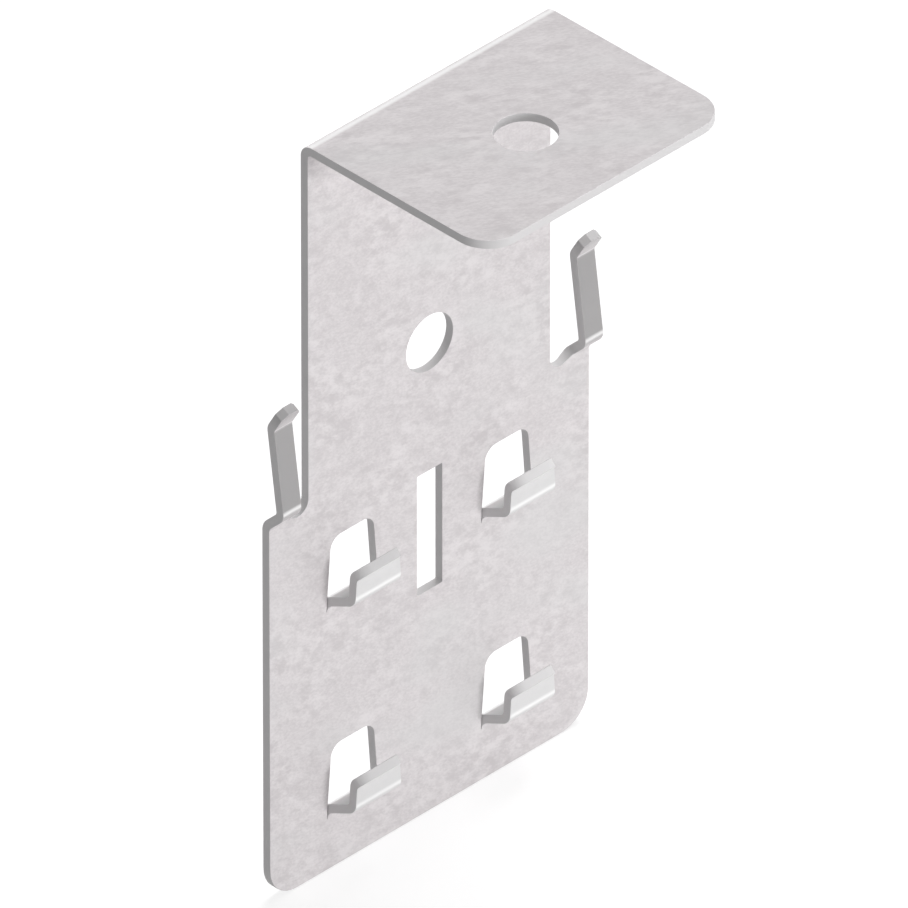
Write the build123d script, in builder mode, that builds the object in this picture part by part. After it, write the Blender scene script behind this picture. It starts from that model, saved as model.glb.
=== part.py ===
"""Mesh tray bracket: one piece of galvanised steel sheet, cut flat and then folded.

A tall plate carries a flange at its top, turned forward through a right angle. The plate is narrow
above and wide below, and on each shoulder a strip of the sheet stands up in front of the plate as a
spring clip. Four tapered tabs are cut free on three sides and folded forward out of the wide part:
they are the hooks that carry the wires of a mesh cable tray, and each leaves its own window. A round
hole in the flange takes a hanging rod, another in the plate takes a wall bolt, and an upright slot
lies between the two columns of hooks.

The origin is the centre of the flange hole, on the flange's top face. +Z is up, X runs across the
plate, and the flange, clips and hooks point towards -Y. Lengths are in millimetres, angles in degrees.
"""

import os
from math import cos, radians, sin, tan

from build123d import *

# Sheet
sheet = 2.0
fold_radius = 1.0  # inside radius of the flange fold and of the later folds of hooks and clips
root_radius = 2.0  # inside radius where a hook or a clip leaves the plate
shear_gap = 0.1  # gap between a hook tab and the window that it was cut from
neutral_share = 0.35  # depth, as a share of the sheet, that a fold neither stretches nor shortens

# Flange
flange_depth = 51.5  # from the plate's back face to the flange's free edge
flange_corner = 7.5
flange_hole = 13.0
flange_hole_reach = 28.5  # from the plate's back face to the hole's centre

# Plate, with heights measured down from the flange's top face
plate_height = 176.0
plate_width = 88.7
plate_corner = 7.5
neck_width = 67.0
shoulder_drop = 86.8
plate_hole = 13.0
plate_hole_drop = 63.2
slot_width = 7.0
slot_height = 28.7
slot_drop = 108.15  # to the slot's centre

# Windows and the hooks folded out of them
hook_pitch_across = 42.9
hook_pitch_up = 50.0  # the pitch of the tray's wires
hook_height = 37.3  # from the plate's lower edge to the middle between the roots of the two rows
window_width = 14.3  # at the root
window_corner = 3.0
window_taper = 4.5
hook_rise = 24.0  # angle of the arm above level
hook_arm = 4.7
hook_lip = 3.55
hook_tip = 2.3
hook_flare = 45.0  # angle of the tip in front of upright
hook_corner = 3.0

# Spring clips
clip_width = 5.0
clip_splay = 45.0  # angle of the foot in front of upright
clip_foot = 3.5
clip_lean = 7.5  # angle of the shank back towards the plate
clip_shank = 18.4
clip_flare = 30.0  # angle of the tip in front of upright
clip_tip = 5.1
clip_chamfer = 1.4

# Worked out from the sizes above
half_sheet = sheet / 2
fold_line = fold_radius + half_sheet  # radius of the sheet's middle in a fold
root_line = root_radius + half_sheet
tab_width = window_width - 2 * shear_gap
taper_slope = tan(radians(window_taper))
neck_drop = sheet + fold_radius  # where the flange's fold begins, below the top face
relief_width = (plate_width - neck_width) / 2 - clip_width  # between a clip and the neck
relief_radius = relief_width / 2
relief_middle = neck_width / 2 + relief_radius
hook_drop = plate_height - hook_height

# The plate seen from the front, on its back face: X across, Z up, and outwards through the sheet
plate_view = Plane(origin=(0, flange_hole_reach, 0), x_dir=(1, 0, 0), z_dir=(0, -1, 0))
# A section through the plate, seen from the left: forwards from the back face, and up
plate_section = Plane(origin=(0, flange_hole_reach, 0), x_dir=(0, -1, 0), z_dir=(-1, 0, 0))
# The same section in the frame of a strip that is modelled on the plate's view: out, and up the strip
strip_section = Plane(origin=(0, 0, 0), x_dir=(0, 0, 1), z_dir=(-1, 0, 0))


def straight(before, length):
    """A flat stretch of the sheet's middle line, going on in the direction where `before` ends."""
    return PolarLine(before @ 1, length, direction=before % 1)


def fold(before, radius, angle):
    """A fold of the sheet's middle line, outwards from the plate if `angle` is negative."""
    return JernArc(before @ 1, before % 1, radius, angle)


def flat_length(radius, angle):
    """Length of sheet that a fold takes up, in the flat."""
    return radians(angle) * (radius + neutral_share * sheet)


# A window is as high as its hook is long in the flat
window_height = (
    flat_length(root_radius, 90 - hook_rise)
    + hook_arm
    + flat_length(fold_radius, 90 - hook_rise)
    + hook_lip
    + flat_length(fold_radius, hook_flare)
    + hook_tip
    + shear_gap
)

# One hook, on a plate that lies in XY with its front face up: its root lies along X at the origin
with BuildPart() as hook:
    with BuildSketch(strip_section):
        with BuildLine():
            root = JernArc((half_sheet, 0), (0, 1), root_line, hook_rise - 90)
            arm = straight(root, hook_arm)
            elbow = fold(arm, fold_line, 90 - hook_rise)
            lip = straight(elbow, hook_lip)
            flare = fold(lip, fold_line, -hook_flare)
            straight(flare, hook_tip)
        trace(line_width=sheet)
    extrude(amount=window_width / 2, both=True)

    # Each side is a plane that holds the tapered edges of both the arm and the lip
    for side in (-1, 1):
        arm_edge = Vector(-side * taper_slope, sin(radians(hook_rise)), cos(radians(hook_rise)))
        lip_edge = Vector(-side * taper_slope, 1, 0)
        side_plane = Plane(
            origin=(side * tab_width / 2, 0, half_sheet),
            z_dir=lip_edge.cross(arm_edge) * side,
        )
        split(bisect_by=side_plane, keep=Keep.BOTTOM)

    # The tip's two corners are round
    outwards = Axis(origin=(0, 0, 0), direction=(0, cos(radians(hook_flare)), sin(radians(hook_flare))))
    tip_edges = hook.faces().filter_by(outwards).sort_by(outwards)[-1].edges().sort_by(Axis.X)
    fillet([tip_edges[0], tip_edges[-1]], radius=hook_corner)

# The right-hand spring clip, on the same kind of plate: Y = 0 is the shoulder, X = 0 the plate's middle
with BuildPart() as clip:
    with BuildSketch(strip_section):
        with BuildLine():
            root = JernArc((half_sheet, 0), (0, 1), root_line, -clip_splay)
            foot = straight(root, clip_foot)
            knee = fold(foot, fold_line, clip_splay + clip_lean)
            shank = straight(knee, clip_shank)
            crest = fold(shank, fold_line, -clip_lean - clip_flare)
            straight(crest, clip_tip)
        trace(line_width=sheet)
    extrude(amount=-plate_width / 2)

    # The relief beside the neck leaves a strip of the clip's width, with a round foot
    with BuildSketch(Plane.XY):
        with Locations((relief_middle, relief_radius)):
            Circle(relief_radius)
            Rectangle(relief_width, plate_height, align=(Align.CENTER, Align.MIN))
        with Locations((relief_middle, 0)):
            Rectangle(relief_middle, plate_height, align=(Align.MAX, Align.MIN))
    extrude(amount=plate_width, mode=Mode.SUBTRACT)

    outwards = Axis(origin=(0, 0, 0), direction=(0, cos(radians(clip_flare)), sin(radians(clip_flare))))
    tip_edges = clip.faces().filter_by(outwards).sort_by(outwards)[-1].edges().sort_by(Axis.X)
    chamfer([tip_edges[0], tip_edges[-1]], length=clip_chamfer)

with BuildPart() as bracket:
    # The flat plate: the wide part, and the neck that rises from it with a round corner at each side
    with BuildSketch(plate_view):
        with Locations((0, -plate_height)):
            wide = Rectangle(
                plate_width, plate_height - shoulder_drop, align=(Align.CENTER, Align.MIN)
            )
        fillet(wide.vertices().group_by(Axis.Y)[0], radius=plate_corner)
        with Locations((0, -neck_drop)):
            Rectangle(neck_width, shoulder_drop - neck_drop, align=(Align.CENTER, Align.MAX))
        shoulder = vertices().group_by(Axis.Y)[-2].sort_by(Axis.X)
        fillet(shoulder[1:-1], radius=relief_radius)
    extrude(amount=sheet)

    # The flange and its fold
    with BuildSketch(plate_section):
        with BuildLine():
            crown = JernArc((half_sheet, -neck_drop), (0, 1), fold_line, -90)
            Line(crown @ 1, (flange_depth, -half_sheet))
        trace(line_width=sheet)
    extrude(amount=neck_width / 2, both=True)
    fillet(bracket.edges().filter_by(Axis.Z).group_by(Axis.Y)[0], radius=flange_corner)

    # The slot, and the windows of the hooks
    with BuildSketch(plate_view):
        with Locations((0, -slot_drop)):
            Rectangle(slot_width, slot_height)
    extrude(amount=sheet, mode=Mode.SUBTRACT)
    with BuildSketch(plate_view):
        with Locations((0, -hook_drop)):
            with GridLocations(hook_pitch_across, hook_pitch_up, 2, 2):
                Trapezoid(
                    window_width, window_height, 90 - window_taper, align=(Align.CENTER, Align.MIN)
                )
        fillet(vertices().group_by(Axis.Y)[1] + vertices().group_by(Axis.Y)[3], radius=window_corner)
    extrude(amount=sheet, mode=Mode.SUBTRACT)

    # The two round holes
    with Locations((0, 0, 0)):
        Hole(flange_hole / 2, depth=sheet)
    with Locations(plate_view.offset(sheet)):
        with Locations((0, -plate_hole_drop)):
            Hole(plate_hole / 2, depth=sheet)

    # Hooks and clips join the plate at their roots
    with Locations(plate_view):
        with Locations((0, -hook_drop)):
            with GridLocations(hook_pitch_across, hook_pitch_up, 2, 2):
                add(hook.part)
        with Locations((0, -shoulder_drop)):
            add(clip.part)
            add(mirror(clip.part, about=Plane.YZ, mode=Mode.PRIVATE))

bracket.part.label = "bracket"

os.makedirs("parts", exist_ok=True)
export_step(bracket.part, "parts/bracket.step")
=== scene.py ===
"""Visual model of a mesh tray bracket: one sheet of galvanised steel, cut flat and then folded.

The sheet is drawn as the flat blank that comes off the press, with its outline, its two round
holes, its slot and the four windows that leave the hook tabs standing in them. The blank is then
folded by a map that turns each point of the flat into a point of the bracket, so that every fold
runs smoothly through the sheet and every cut edge keeps its rolled-over rim.

A point of the flat has a place across the sheet, x, and a height, s, which is also its height in
the bracket wherever the plate isn't folded. Lengths are in millimetres and angles in degrees. The
studio, its lamps and the scales of the finish are in metres, as meshes are.
"""

import logging
from dataclasses import dataclass
from enum import Enum
from math import ceil, pi, radians, tan
from typing import Any

import bpy
import numpy as np
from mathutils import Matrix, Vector
from mathutils.geometry import delaunay_2d_cdt


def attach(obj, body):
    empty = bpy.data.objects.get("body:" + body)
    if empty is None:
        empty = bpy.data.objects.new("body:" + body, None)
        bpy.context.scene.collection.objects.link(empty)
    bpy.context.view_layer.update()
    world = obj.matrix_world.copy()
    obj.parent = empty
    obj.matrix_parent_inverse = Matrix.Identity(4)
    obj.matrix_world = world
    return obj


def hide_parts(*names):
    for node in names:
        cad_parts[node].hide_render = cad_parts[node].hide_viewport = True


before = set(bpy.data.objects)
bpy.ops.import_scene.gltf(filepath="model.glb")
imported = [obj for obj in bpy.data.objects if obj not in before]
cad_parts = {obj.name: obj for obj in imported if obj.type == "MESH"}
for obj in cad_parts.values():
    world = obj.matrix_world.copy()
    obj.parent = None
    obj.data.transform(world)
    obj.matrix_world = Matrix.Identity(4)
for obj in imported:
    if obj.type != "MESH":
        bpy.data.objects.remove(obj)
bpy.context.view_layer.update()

log = logging.getLogger("bracket")

Corner = tuple[float, float, float]  # a sharp corner in the flat: x, s, and the radius it gets
Row = tuple[float, float, float]  # a fold line: its height, and its two ends across
Colour = tuple[float, float, float, float]
Triple = tuple[float, float, float]

METRES = 0.001  # in a millimetre
FACETS = 12  # flats in each round corner of the blank
HOLE_POINTS = 96  # points round each hole
RIM_POINTS = 5  # points over each rolled-over rim
FOLD_STEP = 7.0  # largest turn between two lines across a fold
LINE_STEP = 2.0  # largest gap between two points on a fold line
SLIT_END = 0.49  # radius of a shear slit's end, as a share of its gap: just short of a half round
FADE = 0.5  # how far past a fold its painted highlight and gloss reach
SHINE = ((0.0, 0.0), (0.65, 0.0), (0.8, 0.6), (0.9, 1.0), (1.0, 0.7))  # fold share, its painted highlight

SAME_POINT = 1e-4  # neighbours on an outline that lie nearer than this are one point
HEIGHT_DIGITS = 6  # decimals to which the heights of fold lines are told apart
AT_POINT = 0.012  # a fold line that meets a cut this near to one of its points runs to that point
AT_HEIGHT = 0.0121  # the same for the height alone, with a little over for rounding
LEVEL = 1e-9  # a side of a cut that rises less than this runs level
TOUCHING = 1e-7  # points nearer than this are one point to the triangulation
WHOLE_HULL = 0  # the triangulation's number for keeping every triangle between the points

MEAN = 0.5  # what a noise averages
WHITE: Colour = (1, 1, 1, 1)


def rounded(corners: list[Corner]) -> np.ndarray:
    """Closed outline with a round corner at each of the given points.

    Each corner is an arc that starts at radius x tan(half the turn) before the corner and swings
    through the turn about a centre on the corner's inner side.

    Args:
        corners: The sharp corners in order, each with its radius.

    Returns:
        The outline's points, one row each, with no point twice.
    """
    corner, radius = np.split(np.array(corners, float), [2], axis=1)
    ahead = np.roll(corner, -1, axis=0) - corner
    ahead /= np.linalg.norm(ahead, axis=1, keepdims=True)
    behind = np.roll(ahead, 1, axis=0)
    cross = behind[:, 0] * ahead[:, 1] - behind[:, 1] * ahead[:, 0]
    turn = np.arctan2(cross, (behind * ahead).sum(axis=1))[:, None]
    start = corner - behind * radius * np.tan(np.abs(turn) / 2)
    inwards = np.stack([-behind[:, 1], behind[:, 0]], axis=1) * np.sign(turn)
    swing = np.linspace(0, 1, FACETS + 1)[None, :] * np.abs(turn)
    arc = (
        start[:, None, :]
        + behind[:, None, :] * (radius * np.sin(swing))[:, :, None]
        + inwards[:, None, :] * (radius * (1 - np.cos(swing)))[:, :, None]
    ).reshape(-1, 2)
    apart = np.linalg.norm(arc - np.roll(arc, 1, axis=0), axis=1) > SAME_POINT
    return arc[apart]


def circle(centre: tuple[float, float], radius: float) -> np.ndarray:
    """Round hole in the flat, run clockwise so that the sheet lies on its left.

    Each point is the centre plus radius x (cosine, sine) of its angle, and the angles go down.

    Args:
        centre: The hole's centre.
        radius: The hole's radius.

    Returns:
        The hole's points, one row each.
    """
    angle = -np.arange(HOLE_POINTS) * 2 * pi / HOLE_POINTS
    return np.array(centre) + radius * np.stack([np.cos(angle), np.sin(angle)], axis=1)


def inside(points: np.ndarray, start: np.ndarray, end: np.ndarray) -> np.ndarray:
    """Which points lie inside closed paths, holes left out.

    A point is inside where a level line from it, to the right, crosses the paths an odd number of
    times.

    Args:
        points: The points to test, one row each.
        start: The first point of each of the paths' sides.
        end: The last point of each side.

    Returns:
        True for each point that lies inside.
    """
    x, s = points[:, :1], points[:, 1:]
    spans = (start[None, :, 1] > s) != (end[None, :, 1] > s)
    rise = end[:, 1] - start[:, 1]
    share = (s - start[None, :, 1]) / np.where(rise == 0, 1, rise)[None, :]
    crossing = start[None, :, 0] + share * (end[:, 0] - start[:, 0])[None, :]
    return (spans & (crossing > x)).sum(axis=1) % 2 == 1


@dataclass(frozen=True)
class Stretch:
    """A straight or folded stretch of a strip of sheet.

    A fold has an inside radius and a turn, outwards from the plate where it is positive; a
    straight stretch has a length alone.
    """

    length: float = 0.0
    turn: float = 0.0
    radius: float = 0.0


@dataclass(frozen=True)
class Strip:
    """A run of sheet that leaves the plate: straight stretches and folds, one after another."""

    root: float  # height of its root in the flat
    stretches: tuple[Stretch, ...]
    sheet: float
    neutral_share: float  # depth of the layer that folds leave unstretched, as a share of the sheet

    def lengths(self, depth: float) -> np.ndarray:
        """Length of each stretch at a depth in the sheet.

        A fold's length is its turn in radians x (its inside radius + the depth).

        Args:
            depth: The depth, from the inside of the folds.

        Returns:
            One length for each stretch.
        """
        return np.array(
            [run.length + radians(abs(run.turn)) * (run.radius + depth) for run in self.stretches]
        )

    def flats(self) -> np.ndarray:
        """Length of each stretch in the flat, which is that of the sheet's unstretched layer."""
        return self.lengths(self.neutral_share * self.sheet)

    def ends(self) -> np.ndarray:
        """Height in the flat at which each stretch ends."""
        return self.root + np.cumsum(self.flats())

    def end(self) -> float:
        """Height in the flat of the strip's free end."""
        return self.root + float(self.flats().sum())

    def folds(self) -> list[tuple[float, float, float]]:
        """The folds alone.

        Returns:
            Where each fold starts and ends in the flat, and how far it turns.
        """
        ends = self.ends()
        starts = np.concatenate([[self.root], ends[:-1]])
        runs = zip(starts, ends, self.stretches)
        return [(start, end, abs(run.turn)) for start, end, run in runs if run.turn]

    def rows(self) -> np.ndarray:
        """Heights in the flat of the lines across the strip's folds, FOLD_STEP apart or less.

        Returns:
            The heights, with one more on each side of a fold, where its painted highlight has
            faded.
        """
        lines = []
        for start, end, turn in self.folds():
            across = np.linspace(start, end, ceil(turn / FOLD_STEP) + 1)
            lines.append(np.concatenate([across, [start - FADE, end + FADE]]))
        heights = np.unique(np.round(np.concatenate(lines), HEIGHT_DIGITS))
        return heights[heights >= np.round(self.root, HEIGHT_DIGITS)]

    def highlight_and_gloss(self, height: np.ndarray) -> np.ndarray:
        """Painted highlight and gloss along the folds: strongest by the far end of a fold.

        Args:
            height: Heights in the flat.

        Returns:
            From 0 on a straight stretch to 1 in a fold, in straight ramps between SHINE's points.
        """
        share, level = np.array(SHINE).T
        knots = [
            np.concatenate([[start - FADE], start + share * (end - start), [end + FADE]])
            for start, end, _ in self.folds()
        ]
        levels = np.tile(np.concatenate([[0.0], level, [0.0]]), len(knots))
        return np.interp(height, np.concatenate(knots), levels)

    def place(self, height: np.ndarray) -> tuple[np.ndarray, np.ndarray, np.ndarray]:
        """Carry heights in the flat to the middle of the folded strip.

        A straight stretch goes on along the heading at its start. In a fold the heading turns
        evenly, and the point moves by radius x (cosine at the start less cosine now) outwards and
        by radius x (sine now less sine at the start) upwards.

        Args:
            height: Heights in the flat, from the root up.

        Returns:
            How far out from the plate's back face, how high, and the heading from upright in
            radians.
        """
        flats, mids = self.flats(), self.lengths(self.sheet / 2)
        turns = np.radians([run.turn for run in self.stretches])
        straight = turns == 0
        heading = np.concatenate([[0], np.cumsum(turns)])
        sine, cosine = np.sin(heading), np.cos(heading)
        starts = np.concatenate([[0], np.cumsum(flats)])
        swing = mids / np.where(straight, 1, turns)
        rise = np.where(straight, mids * cosine[:-1], swing * np.diff(sine))
        reach = np.where(straight, mids * sine[:-1], -swing * np.diff(cosine))
        out = np.concatenate([[0], np.cumsum(reach)])
        up = np.concatenate([[0], np.cumsum(rise)])

        local = height - self.root
        which = np.clip(np.searchsorted(starts, local, side="right") - 1, 0, len(turns) - 1)
        share = (local - starts[which]) / flats[which]
        now = heading[which] + share * turns[which]
        run, bend, flat = share * mids[which], swing[which], straight[which]
        sine, cosine = sine[which], cosine[which]
        outwards = np.where(flat, run * sine, bend * (cosine - np.cos(now)))
        upwards = np.where(flat, run * cosine, bend * (np.sin(now) - sine))
        return self.sheet / 2 + out[which] + outwards, self.root + up[which] + upwards, now


@dataclass
class Bracket:
    """The bracket: its sizes, which are the solid part's, its blank, its folds and its piece.

    Drops are measured down from the flange's top face.
    """

    sheet: float = 2.0
    fold_radius: float = 1.0  # inside, as is the next
    root_radius: float = 2.0  # where a hook or a clip leaves the plate
    shear_gap: float = 0.1
    neutral_share: float = 0.35
    rim: float = 0.11  # radius of the rolled-over rim of every cut edge
    nick: float = 0.3  # radius of the corners that the die leaves sharp
    flange_depth: float = 51.5  # from the plate's back face to the free edge
    flange_corner: float = 7.5
    hole: float = 13.0
    hole_reach: float = 28.5  # from the plate's back face to the middle of the flange's hole
    plate_height: float = 176.0
    plate_width: float = 88.7
    plate_corner: float = 7.5
    neck_width: float = 67.0
    shoulder_drop: float = 86.8
    plate_hole_drop: float = 63.2
    slot_width: float = 7.0
    slot_height: float = 28.7
    slot_drop: float = 108.15  # to its middle
    hook_across: float = 42.9
    hook_up: float = 50.0
    hook_drop: float = 138.7  # to the middle between the roots of the two rows
    window_width: float = 14.3  # at the root
    window_corner: float = 3.0
    window_taper: float = 4.5
    hook_rise: float = 24.0  # of the arm above level
    hook_arm: float = 4.7
    hook_lip: float = 3.55
    hook_tip: float = 2.3
    hook_flare: float = 45.0  # of the tip in front of upright
    clip_width: float = 5.0
    clip_splay: float = 45.0  # of the foot in front of upright
    clip_foot: float = 3.5
    clip_lean: float = 7.5  # of the shank back towards the plate
    clip_shank: float = 18.4
    clip_flare: float = 30.0  # of the tip in front of upright
    clip_tip: float = 5.1
    clip_chamfer: float = 1.4

    def __post_init__(self) -> None:
        """Work out the strips, the relief beside the clips and the roots of the hooks."""
        self.half_width = self.plate_width / 2
        self.half_neck = self.neck_width / 2
        self.relief = (self.half_width - self.half_neck - self.clip_width) / 2
        self.relief_middle = self.half_neck + self.relief
        self.taper = tan(radians(self.window_taper))
        flange_reach = self.flange_depth - self.hole_reach
        self.flange = self.strip(
            -self.sheet - self.fold_radius,
            Stretch(turn=90, radius=self.fold_radius),
            Stretch(length=self.hole_reach - self.sheet - self.fold_radius + flange_reach),
        )
        self.flange_middle = self.flange.end() - flange_reach
        self.clip = self.strip(
            -self.shoulder_drop,
            Stretch(turn=self.clip_splay, radius=self.root_radius),
            Stretch(length=self.clip_foot),
            Stretch(turn=-self.clip_splay - self.clip_lean, radius=self.fold_radius),
            Stretch(length=self.clip_shank),
            Stretch(turn=self.clip_lean + self.clip_flare, radius=self.fold_radius),
            Stretch(length=self.clip_tip),
        )
        self.hooks = [
            (
                across * self.hook_across / 2,
                self.strip(
                    -self.hook_drop + up * self.hook_up / 2,
                    Stretch(turn=90 - self.hook_rise, radius=self.root_radius),
                    Stretch(length=self.hook_arm),
                    Stretch(turn=self.hook_rise - 90, radius=self.fold_radius),
                    Stretch(length=self.hook_lip),
                    Stretch(turn=self.hook_flare, radius=self.fold_radius),
                    Stretch(length=self.hook_tip),
                ),
            )
            for across in (-1, 1)
            for up in (-1, 1)
        ]

    def strip(self, root: float, *stretches: Stretch) -> Strip:
        """A strip of this sheet from its root's height and its stretches."""
        return Strip(root, stretches, self.sheet, self.neutral_share)

    def outline(self) -> np.ndarray:
        """The blank's outer outline: the right half's corners, and their mirror image.

        Returns:
            The outline's points, run anticlockwise, one row each.
        """
        shoulder = -self.shoulder_drop
        tip, cut = self.clip.end(), self.clip_chamfer
        inner, outer = self.half_width - self.clip_width, self.half_width
        right = [
            (outer, -self.plate_height, self.plate_corner),
            (outer, tip - cut, self.nick),
            (outer - cut, tip, self.nick),
            (inner + cut, tip, self.nick),
            (inner, tip - cut, self.nick),
            (inner, shoulder, self.relief),
            (self.half_neck, shoulder, self.relief),
            (self.half_neck, self.flange.end(), self.flange_corner),
        ]
        return rounded(right + [(-x, s, radius) for x, s, radius in reversed(right)])

    def window(self, middle: float, hook: Strip) -> np.ndarray:
        """The cut round one hook's tab: up and over the window's outline, and back round the tab's.

        Args:
            middle: The hook's middle across the plate.
            hook: The hook's strip.

        Returns:
            The cut's points, run clockwise, one row each.
        """
        gap = self.shear_gap
        half, high, low = self.window_width / 2, hook.end() + gap, hook.root - gap / 2
        tab = half - gap
        path = [
            (half - self.taper * (high - hook.root), high, self.window_corner),
            (half, low, gap * SLIT_END),
            (tab, low, gap * SLIT_END),
            (tab - self.taper * (hook.end() - hook.root), hook.end(), self.window_corner),
        ]
        right = [(middle + x, s, radius) for x, s, radius in path]
        left = [(middle - x, s, radius) for x, s, radius in reversed(path)]
        return rounded(right + left)

    def tab_half(self, hook: Strip, height: float) -> float:
        """Half the width of a hook's tab at a height, out to the middle of the gap beside it."""
        return (self.window_width - self.shear_gap) / 2 - self.taper * (height - hook.root)

    def tab(self, middle: float, hook: Strip) -> np.ndarray:
        """The outline of one hook's tab in the flat, out to the middle of the gap round it.

        Args:
            middle: The hook's middle across the plate.
            hook: The hook's strip.

        Returns:
            The outline's points, one row each.
        """
        high = hook.end() + self.shear_gap / 2
        wide, narrow = self.tab_half(hook, hook.root), self.tab_half(hook, high)
        return rounded(
            [
                (middle + wide, hook.root, 0.0),
                (middle + narrow, high, self.window_corner),
                (middle - narrow, high, self.window_corner),
                (middle - wide, hook.root, 0.0),
            ]
        )

    def slot(self) -> np.ndarray:
        """The upright slot between the hooks.

        Returns:
            The slot's points, run clockwise, one row each.
        """
        half, low = self.slot_width / 2, -self.slot_drop - self.slot_height / 2
        high = low + self.slot_height
        corners = [(-half, low), (-half, high), (half, high), (half, low)]
        return rounded([(*corner, self.nick) for corner in corners])

    def parts(self, flat: np.ndarray) -> list[tuple[Strip, np.ndarray]]:
        """Which points of the blank each strip takes up.

        Args:
            flat: Points of the blank, one row each.

        Returns:
            The flange, the clips and the hooks, each with True for the points that it takes up.
        """
        x, s = flat[:, 0], flat[:, 1]
        beyond = np.abs(x) > self.relief_middle
        parts = [
            (self.flange, ~beyond & (s > self.flange.root)),
            (self.clip, beyond & (s > self.clip.root)),
        ]
        for middle, hook in self.hooks:
            path = self.tab(middle, hook)
            parts.append((hook, inside(flat, path, np.roll(path, -1, axis=0))))
        return parts

    def wear(self, flat: np.ndarray) -> dict[str, np.ndarray]:
        """Marks for the folds' painted highlight, the clips' painted shade, and where the hooks
        are.

        A shank's mark rises over the knee before it and falls over the crest after it, a tip's
        rises from the crest to the chamfers, and a hook's rises along its arm.

        Args:
            flat: Points of the blank, one row each.

        Returns:
            Each mark's name, and its value at each point, from 0 to 1.
        """
        marks = {name: np.zeros(len(flat)) for name in ("bend", "shank", "tip", "hook")}
        strips = self.parts(flat)
        _, (_, on_clip), *hooks = strips
        for strip, there in strips:
            # The folds' painted highlight, which also sets their gloss
            marks["bend"][there] = strip.highlight_and_gloss(flat[there, 1])
        _, foot, knee, shank, crest, tip = self.clip.ends()
        height = flat[on_clip, 1]
        # Painted shade on the clips' shanks, and on their tips below
        marks["shank"][on_clip] = np.interp(height, [foot, knee, shank, crest], [0, 1, 1, 0])
        marks["tip"][on_clip] = np.interp(height, [crest, tip - self.clip_chamfer], [0, 1])
        for hook, there in hooks:
            marks["hook"][there] = np.interp(flat[there, 1], hook.ends()[:2], [0, 1])
        return marks

    def fold(self, flat: np.ndarray) -> tuple[np.ndarray, np.ndarray, np.ndarray]:
        """Fold points of the blank.

        Args:
            flat: Points of the blank, one row each.

        Returns:
            The points in the sheet's middle, the directions out through its front face, and the
            directions up along the strip.
        """
        x, s = flat[:, 0], flat[:, 1]
        out, up, heading = np.full_like(x, self.sheet / 2), s.copy(), np.zeros_like(x)
        for strip, there in self.parts(flat):
            out[there], up[there], heading[there] = strip.place(s[there])
        none = np.zeros_like(x)
        point = np.stack([x, self.hole_reach - out, up], axis=1)
        front = np.stack([none, -np.cos(heading), -np.sin(heading)], axis=1)
        along = np.stack([none, -np.sin(heading), np.cos(heading)], axis=1)
        return point, front, along

    def rows(self) -> list[Row]:
        """The fold lines of the blank.

        Returns:
            One entry for each line, its ends on the sides of its strip or a little past them.
        """
        rows = [(s, -self.half_neck, self.half_neck) for s in self.flange.rows()]
        for side in (-1, 1):
            ends = sorted((side * self.relief_middle, side * self.half_width))
            rows += [(s, *ends) for s in self.clip.rows()]
        for middle, hook in self.hooks:
            halves = [(s, self.tab_half(hook, s)) for s in hook.rows()]
            rows += [(s, middle - half, middle + half) for s, half in halves]
        return rows

    def skin(self) -> "Skin":
        """The folded sheet as one closed skin.

        Returns:
            The skin, in millimetres.
        """
        holes = [
            circle((0, self.flange_middle), self.hole / 2),
            circle((0, -self.plate_hole_drop), self.hole / 2),
            self.slot(),
        ]
        windows = [self.window(middle, hook) for middle, hook in self.hooks]
        rows = self.rows()
        heights = np.unique([s for s, *_ in rows])
        cuts = [Cut.along(path, self.rim, heights) for path in [self.outline(), *holes, *windows]]
        return Skin.build(self, cuts, rows)

    def build(self) -> bpy.types.Object:
        """Make the bracket's piece and dress it.

        Returns:
            The piece, at the origin.
        """
        piece = self.skin().piece("folded_sheet")
        piece.data.materials.append(GalvanisedSheet().material())
        return piece


@dataclass
class Cut:
    """One cut edge of the blank: its points a rim's width inside the sheet, and the way out."""

    base: np.ndarray
    outwards: np.ndarray

    @classmethod
    def along(cls, path: np.ndarray, rim: float, heights: np.ndarray) -> "Cut":
        """Set a path into the sheet by the rim, and add a point wherever it crosses a fold line.

        The way out at a corner is the sum of its two sides' normals over one more than their dot
        product, which keeps both sides parallel.

        Args:
            path: The cut's points, with the sheet on the left.
            rim: How far the base lies inside the cut.
            heights: Heights of the fold lines.

        Returns:
            The cut's base and its ways out.
        """
        side = np.roll(path, -1, axis=0) - path
        side /= np.linalg.norm(side, axis=1, keepdims=True)
        normal = np.stack([side[:, 1], -side[:, 0]], axis=1)
        before = np.roll(normal, 1, axis=0)
        outwards = (normal + before) / (1 + (normal * before).sum(axis=1, keepdims=True))
        base = path - rim * outwards

        after, out_after = np.roll(base, -1, axis=0), np.roll(outwards, -1, axis=0)
        step = after[:, 1] - base[:, 1]
        level = np.abs(step) < LEVEL
        share = (heights[None, :] - base[:, 1, None]) / np.where(level, 1, step)[:, None]
        near = AT_POINT / np.maximum(np.linalg.norm(after - base, axis=1), LEVEL)[:, None]
        which, line = np.nonzero((share > near) & (share < 1 - near) & ~level[:, None])
        t = share[which, line]
        order = np.argsort(np.concatenate([np.arange(len(base)), which + t]))
        t = t[:, None]
        return cls(
            np.concatenate([base, base[which] * (1 - t) + after[which] * t])[order],
            np.concatenate([outwards, outwards[which] * (1 - t) + out_after[which] * t])[order],
        )


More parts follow.
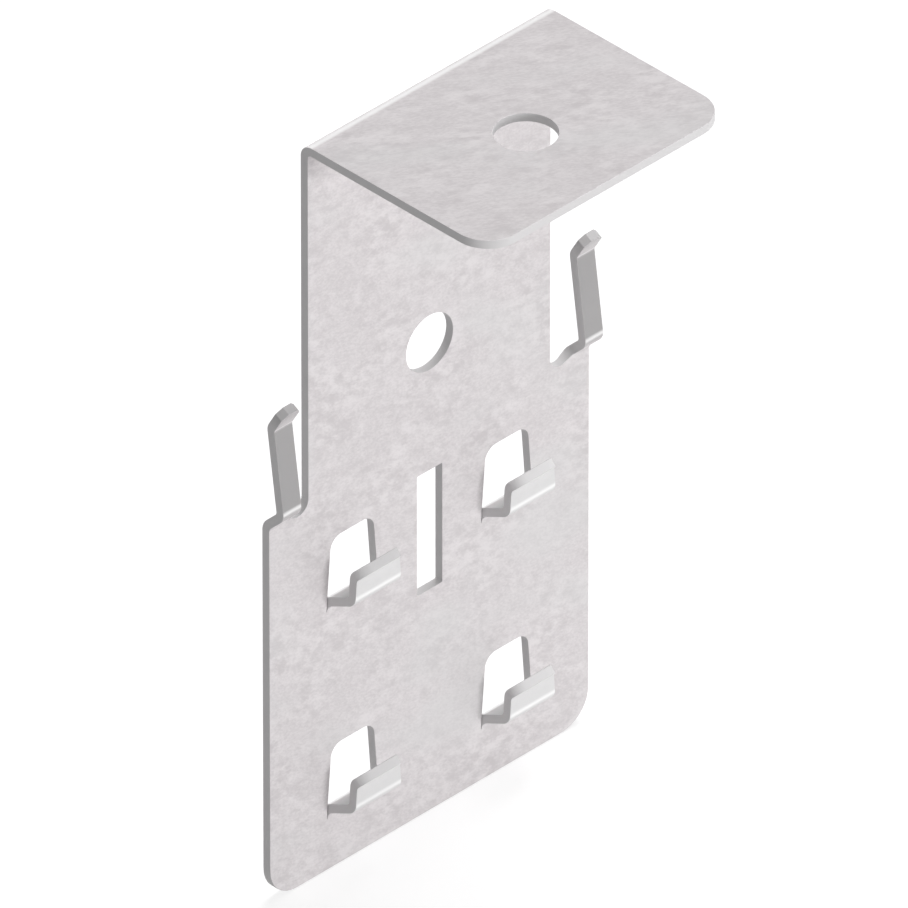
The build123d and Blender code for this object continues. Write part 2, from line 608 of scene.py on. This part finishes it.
@dataclass
class Skin:
    """A closed mesh: its points, the normal at each, its faces, and the marks the finish reads."""

    points: np.ndarray
    normals: np.ndarray
    faces: list[list[int]]
    marks: dict[str, np.ndarray]

    @classmethod
    def build(cls, bracket: Bracket, cuts: list[Cut], rows: list[Row]) -> "Skin":
        """Make the two faces of the folded sheet and the rounded walls of its cuts.

        Each face is the flat blank in triangles that follow the fold lines, moved half the
        sheet's thickness along its normal. Each wall is a profile, a quarter round, a flat and a
        quarter round, carried along the cut: out from the base = rim x sine, depth = half the
        sheet - rim x (1 - cosine), for angles from 0 at the face to a quarter turn at the flat.

        Args:
            bracket: The bracket, which folds the points.
            cuts: The blank's cut edges, the outer one first.
            rows: The fold lines.

        Returns:
            The closed skin.
        """
        base = np.concatenate([cut.base for cut in cuts])
        outwards = np.concatenate([cut.outwards for cut in cuts])
        inner, lines = cls.fold_lines(base, rows)
        following = cls.following([len(cut.base) for cut in cuts])
        triangles = cls.triangles(np.concatenate([base, inner]), following, lines)

        angle = np.linspace(0, pi / 2, RIM_POINTS)
        lean = np.concatenate([np.sin(angle), np.sin(angle)[::-1]])
        facing = np.concatenate([np.cos(angle), -np.cos(angle)[::-1]])
        half = bracket.sheet / 2
        depth = half - bracket.rim * (1 - np.cos(angle))
        depth = np.concatenate([depth, -depth[::-1]])
        walls = base[:, None, :] + bracket.rim * lean[None, :, None] * outwards[:, None, :]
        faces = cls.faces_of(triangles, following, len(lean), len(inner))

        # From here on there is one row for each point: the walls', the front's, then the back's
        count, within = len(base), len(inner)
        flat = np.concatenate([walls.reshape(-1, 2), inner, inner])
        depth = np.concatenate([np.tile(depth, count), np.repeat([half, -half], within)])
        facing = np.concatenate([np.tile(facing, count), np.repeat([1.0, -1.0], within)])
        out = outwards / np.linalg.norm(outwards, axis=1, keepdims=True)
        out = np.concatenate([np.repeat(out, len(lean), axis=0), np.zeros((2 * within, 2))])
        lean = np.concatenate([np.tile(lean, count), np.zeros(2 * within)])

        point, front, along = bracket.fold(flat)
        sideways = out[:, :1] * np.array([[1.0, 0.0, 0.0]]) + out[:, 1:] * along
        normals = facing[:, None] * front + lean[:, None] * sideways
        marks = bracket.wear(flat)
        # Painted shade on the shanks' front faces and the hooks' back faces; no painted highlight
        # on cut walls
        marks["shank"] *= np.clip(facing, 0, 1)
        marks["inner"] = marks["hook"] * np.clip(-facing, 0, 1)
        marks["bend"] *= 1 - lean
        return cls(point + depth[:, None] * front, normals, faces, {"cut": lean, **marks})

    @staticmethod
    def following(sizes: list[int]) -> np.ndarray:
        """For each point of the cuts, the number of the next one along its cut.

        Args:
            sizes: How many points each cut has.

        Returns:
            The numbers, the last point of a cut being followed by its first.
        """
        firsts = np.cumsum([0, *sizes[:-1]])
        return np.concatenate([n + np.roll(np.arange(size), -1) for n, size in zip(firsts, sizes)])

    @staticmethod
    def fold_lines(base: np.ndarray, rows: list[Row]) -> tuple[np.ndarray, list[list[int]]]:
        """Points along each fold line, from cut to cut, LINE_STEP apart or less.

        Args:
            base: Points of the cuts' bases.
            rows: The fold lines.

        Returns:
            The points between the cuts, and each line as a list of point numbers, cuts included.
        """
        inner: list[np.ndarray] = []
        lines: list[list[int]] = []
        total = len(base)
        for height, left, right in rows:
            on_line = np.abs(base[:, 1] - height) < AT_HEIGHT
            within = (base[:, 0] > left) & (base[:, 0] < right)
            ends = np.nonzero(on_line & within)[0]
            ends = ends[np.argsort(base[ends, 0])]
            first, last = base[ends[0], 0], base[ends[-1], 0]
            count = max(2, ceil((last - first) / LINE_STEP))
            x = np.linspace(first, last, count + 1)[1:-1]
            inner.append(np.stack([x, np.full_like(x, height)], axis=1))
            lines.append([int(ends[0]), *range(total, total + len(x)), int(ends[-1])])
            total += len(x)
        return np.concatenate(inner), lines

    @staticmethod
    def triangles(flat: np.ndarray, following: np.ndarray, lines: list[list[int]]) -> np.ndarray:
        """Triangles of the blank that keep to its cuts and fold lines.

        Args:
            flat: Points of the cuts' bases, then points between them.
            following: For each cut point, the next one along its cut.
            lines: The fold lines as lists of point numbers.

        Returns:
            The triangles as rows of three point numbers, anticlockwise seen from the front.

        Raises:
            ValueError: If the blank's lines cross, so that they need points of their own.
        """
        edges = list(enumerate(following.tolist()))
        for line in lines:
            edges += list(zip(line[:-1], line[1:]))
        points = [Vector(point) for point in flat.tolist()]
        found, _, corners, origins, *_ = delaunay_2d_cdt(points, edges, [], WHOLE_HULL, TOUCHING)
        if len(found) != len(flat):
            raise ValueError(f"the blank's lines cross: {len(flat)} points became {len(found)}")
        faces = np.array([origin[0] for origin in origins])[np.array(corners)]
        sheet = inside(flat[faces].mean(axis=1), flat[: len(following)], flat[following])
        return faces[sheet]

    @staticmethod
    def faces_of(
        triangles: np.ndarray, following: np.ndarray, steps: int, within: int
    ) -> list[list[int]]:
        """Faces of the walls, the front and the back, in the numbers of the skin's points.

        Each cut point has a column of points down its wall, and a wall's face joins two steps of
        one column to the same steps of the next. The front and the back take a column's first
        and last point, and after the columns come the front's inner points and the back's.

        Args:
            triangles: The blank's triangles.
            following: For each cut point, the next one along its cut.
            steps: How many points a column has.
            within: How many points lie inside each face.

        Returns:
            The faces as lists of point numbers, each anticlockwise seen from outside.
        """
        count = len(following)
        here, after = np.arange(count)[:, None] * steps, following[:, None] * steps
        step = np.arange(steps - 1)[None, :]
        walls = np.stack([here + step, here + step + 1, after + step + 1, after + step], axis=2)
        column, beyond = triangles * steps, triangles + count * (steps - 1)
        on_cut = triangles < count
        front = np.where(on_cut, column, beyond)
        back = np.where(on_cut, column + steps - 1, beyond + within)
        return walls.reshape(-1, 4).tolist() + front.tolist() + back[:, ::-1].tolist()

    def piece(self, name: str) -> bpy.types.Object:
        """Put the skin into a Blender mesh, in metres, with its own normals.

        Args:
            name: The piece's name.

        Returns:
            The piece, at the origin.
        """
        mesh = bpy.data.meshes.new(name)
        mesh.from_pydata((self.points * METRES).tolist(), [], self.faces)
        mesh.validate()
        mesh.polygons.foreach_set("use_smooth", np.ones(len(mesh.polygons), bool))
        mesh.normals_split_custom_set_from_vertices(self.normals.tolist())
        for mark, values in self.marks.items():
            attribute = mesh.attributes.new(mark, "FLOAT", "POINT")
            attribute.data.foreach_set("value", values.astype(np.float32))
        mesh.update()
        piece = bpy.data.objects.new(name, mesh)
        bpy.context.scene.collection.objects.link(piece)
        return piece


class Operation(Enum):
    """What a Math node or a Vector Math node does."""

    ADD = "ADD"
    SUBTRACT = "SUBTRACT"
    MULTIPLY = "MULTIPLY"
    MINIMUM = "MINIMUM"
    DOT_PRODUCT = "DOT_PRODUCT"
    SCALE = "SCALE"


class Value:
    """A shader value with arithmetic: each operator adds one Math node."""

    def __init__(self, shader: "Shader", socket: bpy.types.NodeSocket | None) -> None:
        """Wrap a node's output socket."""
        self.shader = shader
        self.socket = socket

    def math(self, operation: Operation, first: Any, second: Any) -> "Value":
        """Add a Math node.

        Args:
            operation: What the node does.
            first: A value or a number.
            second: A value or a number.

        Returns:
            The node's output.
        """
        settings = {"operation": operation.value}
        return self.shader.node("ShaderNodeMath", settings, {0: first, 1: second})

    def __add__(self, other: Any) -> "Value":
        """Sum."""
        return self.math(Operation.ADD, self, other)

    def __sub__(self, other: Any) -> "Value":
        """Difference."""
        return self.math(Operation.SUBTRACT, self, other)

    def __mul__(self, other: Any) -> "Value":
        """Product."""
        return self.math(Operation.MULTIPLY, self, other)

    def __rsub__(self, other: Any) -> "Value":
        """Difference from a number."""
        return self.math(Operation.SUBTRACT, other, self)

    __radd__ = __add__
    __rmul__ = __mul__


@dataclass(frozen=True)
class Noise:
    """A cloudy pattern of the zinc, and its share in what the finish shows."""

    scale: float  # cells in a metre
    detail: float
    roughness: float = 0.5
    tone: float = 0.0  # in the mottle
    rough: float = 0.0  # in the roughness
    height: float = 0.0  # in the relief


@dataclass(frozen=True)
class Ramp:
    """The range that a value comes from, and the range that it is carried to."""

    low: float
    high: float
    to_low: float = 0.0
    to_high: float = 1.0


class Shader:
    """A material's or the world's node tree, emptied and ready to be built."""

    def __init__(self, owner: bpy.types.Material | bpy.types.World) -> None:
        """Empty the owner's tree.

        Args:
            owner: The material or the world.
        """
        owner.use_nodes = True
        self.tree = owner.node_tree
        self.tree.nodes.clear()

    def node(
        self,
        kind: str,
        settings: dict[str, Any],
        inputs: dict[int | str, Any],
        output: int | str = 0,
    ) -> Value:
        """Add a node.

        Args:
            kind: The node's type.
            settings: The node's own settings, set first.
            inputs: Values or links for its input sockets.
            output: Which output to return.

        Returns:
            The chosen output, or an empty value from a node that has none.
        """
        node = self.tree.nodes.new(kind)
        for name, setting in settings.items():
            setattr(node, name, setting)
        for socket, given in inputs.items():
            if isinstance(given, Value):
                self.tree.links.new(given.socket, node.inputs[socket])
            else:
                node.inputs[socket].default_value = given
        return Value(self, node.outputs[output] if node.outputs else None)

    def vector(
        self, operation: Operation, inputs: dict[int | str, Any], output: int | str = 0
    ) -> Value:
        """Add a Vector Math node.

        Args:
            operation: What the node does.
            inputs: Values, links or vectors for its input sockets.
            output: Which output to return.

        Returns:
            The chosen output, or the first one.
        """
        return self.node("ShaderNodeVectorMath", {"operation": operation.value}, inputs, output)

    def place(self) -> Value:
        """The point's own place on the piece."""
        return self.node("ShaderNodeTexCoord", {}, {}, "Object")

    def mark(self, name: str) -> Value:
        """One of the marks that the mesh carries."""
        return self.node("ShaderNodeAttribute", {"attribute_name": name}, {}, "Fac")

    def drawn(self, place: Value, direction: Triple, squeeze: float) -> Value:
        """A place squeezed along a direction, which draws a pattern out along it.

        The place loses a share of its part along the direction: place - direction x (place .
        direction) x (1 - squeeze).

        Args:
            place: The place.
            direction: The direction, of any length.
            squeeze: What is left of lengths along it.

        Returns:
            The squeezed place.
        """
        unit = tuple(Vector(direction).normalized())
        part = self.vector(Operation.DOT_PRODUCT, {0: place, 1: unit}, "Value")
        loss = self.vector(Operation.SCALE, {0: unit, "Scale": part * (1 - squeeze)})
        return self.vector(Operation.SUBTRACT, {0: place, 1: loss})

    def noise(self, place: Value, noise: Noise) -> Value:
        """A cloudy pattern.

        Args:
            place: Where the pattern is read.
            noise: Its scale, detail and roughness.

        Returns:
            The pattern, between 0 and 1.
        """
        inputs = {
            "Vector": place,
            "Scale": noise.scale,
            "Detail": noise.detail,
            "Roughness": noise.roughness,
        }
        return self.node("ShaderNodeTexNoise", {"noise_dimensions": "3D"}, inputs, "Fac")

    def spread(self, value: Value, ramp: Ramp) -> Value:
        """A value carried from one range to another, smoothly, and held at its ends.

        Args:
            value: The value.
            ramp: The two ranges.

        Returns:
            The carried value.
        """
        settings = {"interpolation_type": "SMOOTHSTEP", "clamp": True}
        inputs = {0: value, 1: ramp.low, 2: ramp.high, 3: ramp.to_low, 4: ramp.to_high}
        return self.node("ShaderNodeMapRange", settings, inputs)

    def mix(self, share: Value, first: Any, second: Any) -> Value:
        """Two colours mixed.

        Args:
            share: How much of the second colour there is.
            first: A colour or a value.
            second: A colour or a value.

        Returns:
            The mixed colour.
        """
        settings = {"data_type": "RGBA", "blend_type": "MIX", "clamp_factor": True}
        return self.node("ShaderNodeMix", settings, {0: share, 6: first, 7: second}, 2)


@dataclass(frozen=True)
class GalvanisedSheet:
    """Zinc-coated sheet: pale, wrinkled, with a painted highlight in the folds, duller where it is
    cut.

    The covers say how much of a colour goes over the zinc where its mark is full. The colours
    for the shanks and the hooks' insides are painted shade, and the one for the folds a painted
    highlight.
    """

    pale: Colour = (0.785, 0.752, 0.762, 1)
    dull: Colour = (0.625, 0.592, 0.602, 1)
    cool: Colour = (0.690, 0.690, 0.690, 1)
    # Painted highlight along the folds
    fold_highlight: Colour = (0.970, 0.965, 0.965, 1)
    cut: Colour = (0.730, 0.720, 0.725, 1)
    # Painted shade on the clips' shank fronts and their tips
    shank: Colour = (0.376, 0.368, 0.370, 1)
    pressed: Colour = (0.765, 0.765, 0.765, 1)
    # Painted shade on the hooks' back faces
    inner: Colour = (0.480, 0.480, 0.480, 1)
    pressed_cover: float = 0.8
    inner_shade_cover: float = 0.9
    shank_shade_cover: float = 0.95
    fold_highlight_cover: float = 0.9
    tip_shade_cover: float = 0.5

    streaks: Triple = (1.0, -0.6, -0.42)  # the way in which the patterns are drawn out
    draw: float = 0.33  # what is left of their scale along it
    wrinkle: Noise = Noise(560.0, 2.0, tone=0.34, height=0.00004)
    cloud: Noise = Noise(210.0, 2.0, tone=0.2, rough=0.2, height=0.00005)
    patch: Noise = Noise(60.0, 1.0, tone=0.1)
    grain: Noise = Noise(2100.0, 2.0, 0.6, tone=0.36, rough=0.14, height=0.000006)
    gather: Noise = Noise(95.0, 1.0)
    gathering: Ramp = Ramp(0.35, 0.7, 0.5, 1.7)  # how strong the wrinkles and clouds are in places
    mottle: Ramp = Ramp(-0.17, 0.17)  # from the dull zinc to the pale
    hollows: Ramp = Ramp(0.24, 0.42, 0.35, 0.0)  # the dull zinc in the wrinkles' hollows
    cooling: Ramp = Ramp(0.5, 0.75, 0.0, 0.35)  # the cool zinc in the patches
    cutting: Ramp = Ramp(0.6, 1.0, 0.0, 0.85)  # the cut's colour, from the rim to its flat

    metallic: float = 0.15
    burnished_metallic: float = 0.7
    gloss: float = 0.3
    roughness: float = 0.5
    burnished_rough: float = 0.14
    cut_rough: float = 0.08
    relief: float = 0.6

    def material(self) -> bpy.types.Material:
        """Build the finish.

        The zinc's tone is the sum of its patterns about their means, each times its share. The
        hooks' colour, the painted shade of their back faces and of the clips' shanks, the painted
        highlight of the folds, the cuts' colour and the painted shade of the clips' tips go over it
        in that order.

        Returns:
            The material.
        """
        material = bpy.data.materials.new("galvanised_sheet")
        shader = Shader(material)
        place = shader.place()
        drawn = shader.drawn(place, self.streaks, self.draw)
        wrinkles, clouds, patches, grain = (
            shader.noise(drawn, noise)
            for noise in (self.wrinkle, self.cloud, self.patch, self.grain)
        )
        cut, bend, shank, tip, hook, inner = (
            shader.mark(name) for name in ("cut", "bend", "shank", "tip", "hook", "inner")
        )

        gathered = shader.spread(shader.noise(place, self.gather), self.gathering)
        tone = (
            (wrinkles - MEAN) * gathered * self.wrinkle.tone
            + (clouds - MEAN) * gathered * self.cloud.tone
            + (patches - MEAN) * self.patch.tone
            + (grain - MEAN) * self.grain.tone
        )
        zinc = shader.mix(shader.spread(tone, self.mottle), self.dull, self.pale)
        zinc = shader.mix(shader.spread(wrinkles, self.hollows), zinc, self.dull)
        zinc = shader.mix(shader.spread(patches, self.cooling), zinc, self.cool)
        colour = shader.mix(hook * self.pressed_cover, zinc, self.pressed)
        # Painted shade on the hooks' back faces
        colour = shader.mix(inner * self.inner_shade_cover, colour, self.inner)
        # Painted shade on the clips' shank fronts
        colour = shader.mix(shank * self.shank_shade_cover, colour, self.shank)
        # Painted highlight along the folds
        colour = shader.mix(bend * self.fold_highlight_cover, colour, self.fold_highlight)
        colour = shader.mix(shader.spread(cut, self.cutting), colour, self.cut)
        # Painted shade on the clips' tips, in the shank colour
        colour = shader.mix(tip * self.tip_shade_cover, colour, self.shank)

        rough = (
            self.roughness
            + (clouds - MEAN) * self.cloud.rough
            + (grain - MEAN) * self.grain.rough
            - bend * self.burnished_rough
            + cut * self.cut_rough
        )
        height = (
            wrinkles * self.wrinkle.height
            + clouds * self.cloud.height
            + grain * self.grain.height
        )
        relief = {"Strength": self.relief, "Distance": 1.0, "Height": height}
        surface = shader.node(
            "ShaderNodeBsdfPrincipled",
            {},
            {
                "Base Color": colour,
                "Metallic": bend * self.burnished_metallic + self.metallic,
                "Roughness": rough,
                "Specular IOR Level": self.gloss,
                "Normal": shader.node("ShaderNodeBump", {}, relief, "Normal"),
            },
        )
        shader.node("ShaderNodeOutputMaterial", {}, {"Surface": surface})
        return material


@dataclass(frozen=True)
class Lamp:
    """A soft rectangular lamp; its place and size are in metres and its power in watts."""

    name: str
    place: Triple
    size: tuple[float, float]
    power: float

    def hang(self, target: Vector) -> None:
        """Put the lamp in the scene, unseen in a gloss.

        Args:
            target: The point that it is aimed at.
        """
        light = bpy.data.lights.new(self.name, "AREA")
        light.shape = "RECTANGLE"
        light.size, light.size_y = self.size
        light.energy = self.power
        lamp = bpy.data.objects.new(self.name, light)
        lamp.location = self.place
        lamp.visible_glossy = False
        lamp.rotation_euler = (target - lamp.location).to_track_quat("-Z", "Y").to_euler()
        bpy.context.scene.collection.objects.link(lamp)


@dataclass
class Studio:
    """A plain pale room: the floor under the bracket, soft lamps, an even sky, and the camera."""

    floor_half: float = 6.0
    floor_drop: float = 0.1761
    floor_glow: float = 0.75
    floor_colour: Colour = (0.4, 0.4, 0.4, 1)
    floor_roughness: float = 0.9
    sky: float = 0.25
    target: Triple = (0.0001, 0.01986, -0.08666)
    direction: Triple = (-1.0, -1.0, 1.0)  # from the target to the camera
    half_angle: float = 0.65  # of the lens, in degrees
    frame_width: float = 0.17804  # what the picture spans at the target
    sensor: float = 36.0  # in millimetres
    nearest: float = 0.1
    farthest: float = 100.0
    lamps: tuple[Lamp, ...] = (
        Lamp("front", (0.4, -2.7, 0.15), (1.0, 0.6), 53.5),
        Lamp("top", (0.75, 0.35, 2.6), (1.3, 1.3), 46.5),
        Lamp("back", (0.9, 2.6, 0.2), (2.0, 0.7), 24.0),
    )

    def background(self, shader: Shader) -> Value:
        """Where a surface is only looked at: straight, in a gloss or through glass.

        Args:
            shader: The tree that needs it.

        Returns:
            One for what is looked at, and none for what lights or shades something else.
        """
        seen, glossy, through = (
            shader.node("ShaderNodeLightPath", {}, {}, ray)
            for ray in ("Is Camera Ray", "Is Glossy Ray", "Is Transmission Ray")
        )
        return seen.math(Operation.MINIMUM, seen + glossy + through, 1.0)

    def floor(self) -> None:
        """A wide flat floor just under the bracket, white where nothing shades it."""
        half, low = self.floor_half, -self.floor_drop
        corners = [(-half, -half, low), (half, -half, low), (half, half, low), (-half, half, low)]
        mesh = bpy.data.meshes.new("floor")
        mesh.from_pydata(corners, [], [(0, 1, 2, 3)])
        floor = bpy.data.objects.new("floor", mesh)
        bpy.context.scene.collection.objects.link(floor)
        material = bpy.data.materials.new("floor")
        shader = Shader(material)
        glow = {"Color": WHITE, "Strength": self.background(shader) * self.floor_glow}
        plain = {
            "Base Color": self.floor_colour,
            "Roughness": self.floor_roughness,
            "Specular IOR Level": 0.0,
        }
        both = {
            0: shader.node("ShaderNodeBsdfPrincipled", {}, plain),
            1: shader.node("ShaderNodeEmission", {}, glow),
        }
        surface = shader.node("ShaderNodeAddShader", {}, both)
        shader.node("ShaderNodeOutputMaterial", {}, {"Surface": surface})
        mesh.materials.append(material)

    def world(self) -> None:
        """An even sky, white where it is seen."""
        world = bpy.data.worlds.new("studio")
        bpy.context.scene.world = world
        shader = Shader(world)
        strength = self.background(shader) * (1.0 - self.sky) + self.sky
        sky = shader.node("ShaderNodeBackground", {}, {"Color": WHITE, "Strength": strength})
        shader.node("ShaderNodeOutputWorld", {}, {"Surface": sky})

    def camera(self) -> None:
        """A long lens far off, so that the view is nearly without perspective.

        The lens is half the sensor over the tangent of the half angle, and the camera stands half
        the frame's width over the same tangent away.
        """
        opening = tan(radians(self.half_angle))
        data = bpy.data.cameras.new("camera")
        data.sensor_width = self.sensor
        data.lens = self.sensor / 2 / opening
        data.clip_start, data.clip_end = self.nearest, self.farthest
        camera = bpy.data.objects.new("camera", data)
        away = Vector(self.direction).normalized()
        camera.location = Vector(self.target) + away * (self.frame_width / 2 / opening)
        camera.rotation_euler = (-away).to_track_quat("-Z", "Y").to_euler()
        bpy.context.scene.collection.objects.link(camera)
        bpy.context.scene.camera = camera

    def set_up(self) -> None:
        """Put everything but the bracket in the scene."""
        self.floor()
        self.world()
        self.camera()
        for lamp in self.lamps:
            lamp.hang(Vector(self.target))
        bpy.context.scene.view_settings.view_transform = "Standard"


def main() -> None:
    """Build the studio and the bracket, and put the bracket in its node's place."""
    logging.basicConfig(level=logging.INFO, format="%(message)s")
    Studio().set_up()
    piece = Bracket().build()
    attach(piece, "root")
    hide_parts("bracket")
    mesh = piece.data
    log.info("%s: %d points, %d faces", piece.name, len(mesh.vertices), len(mesh.polygons))


if __name__ == "__main__":
    main()
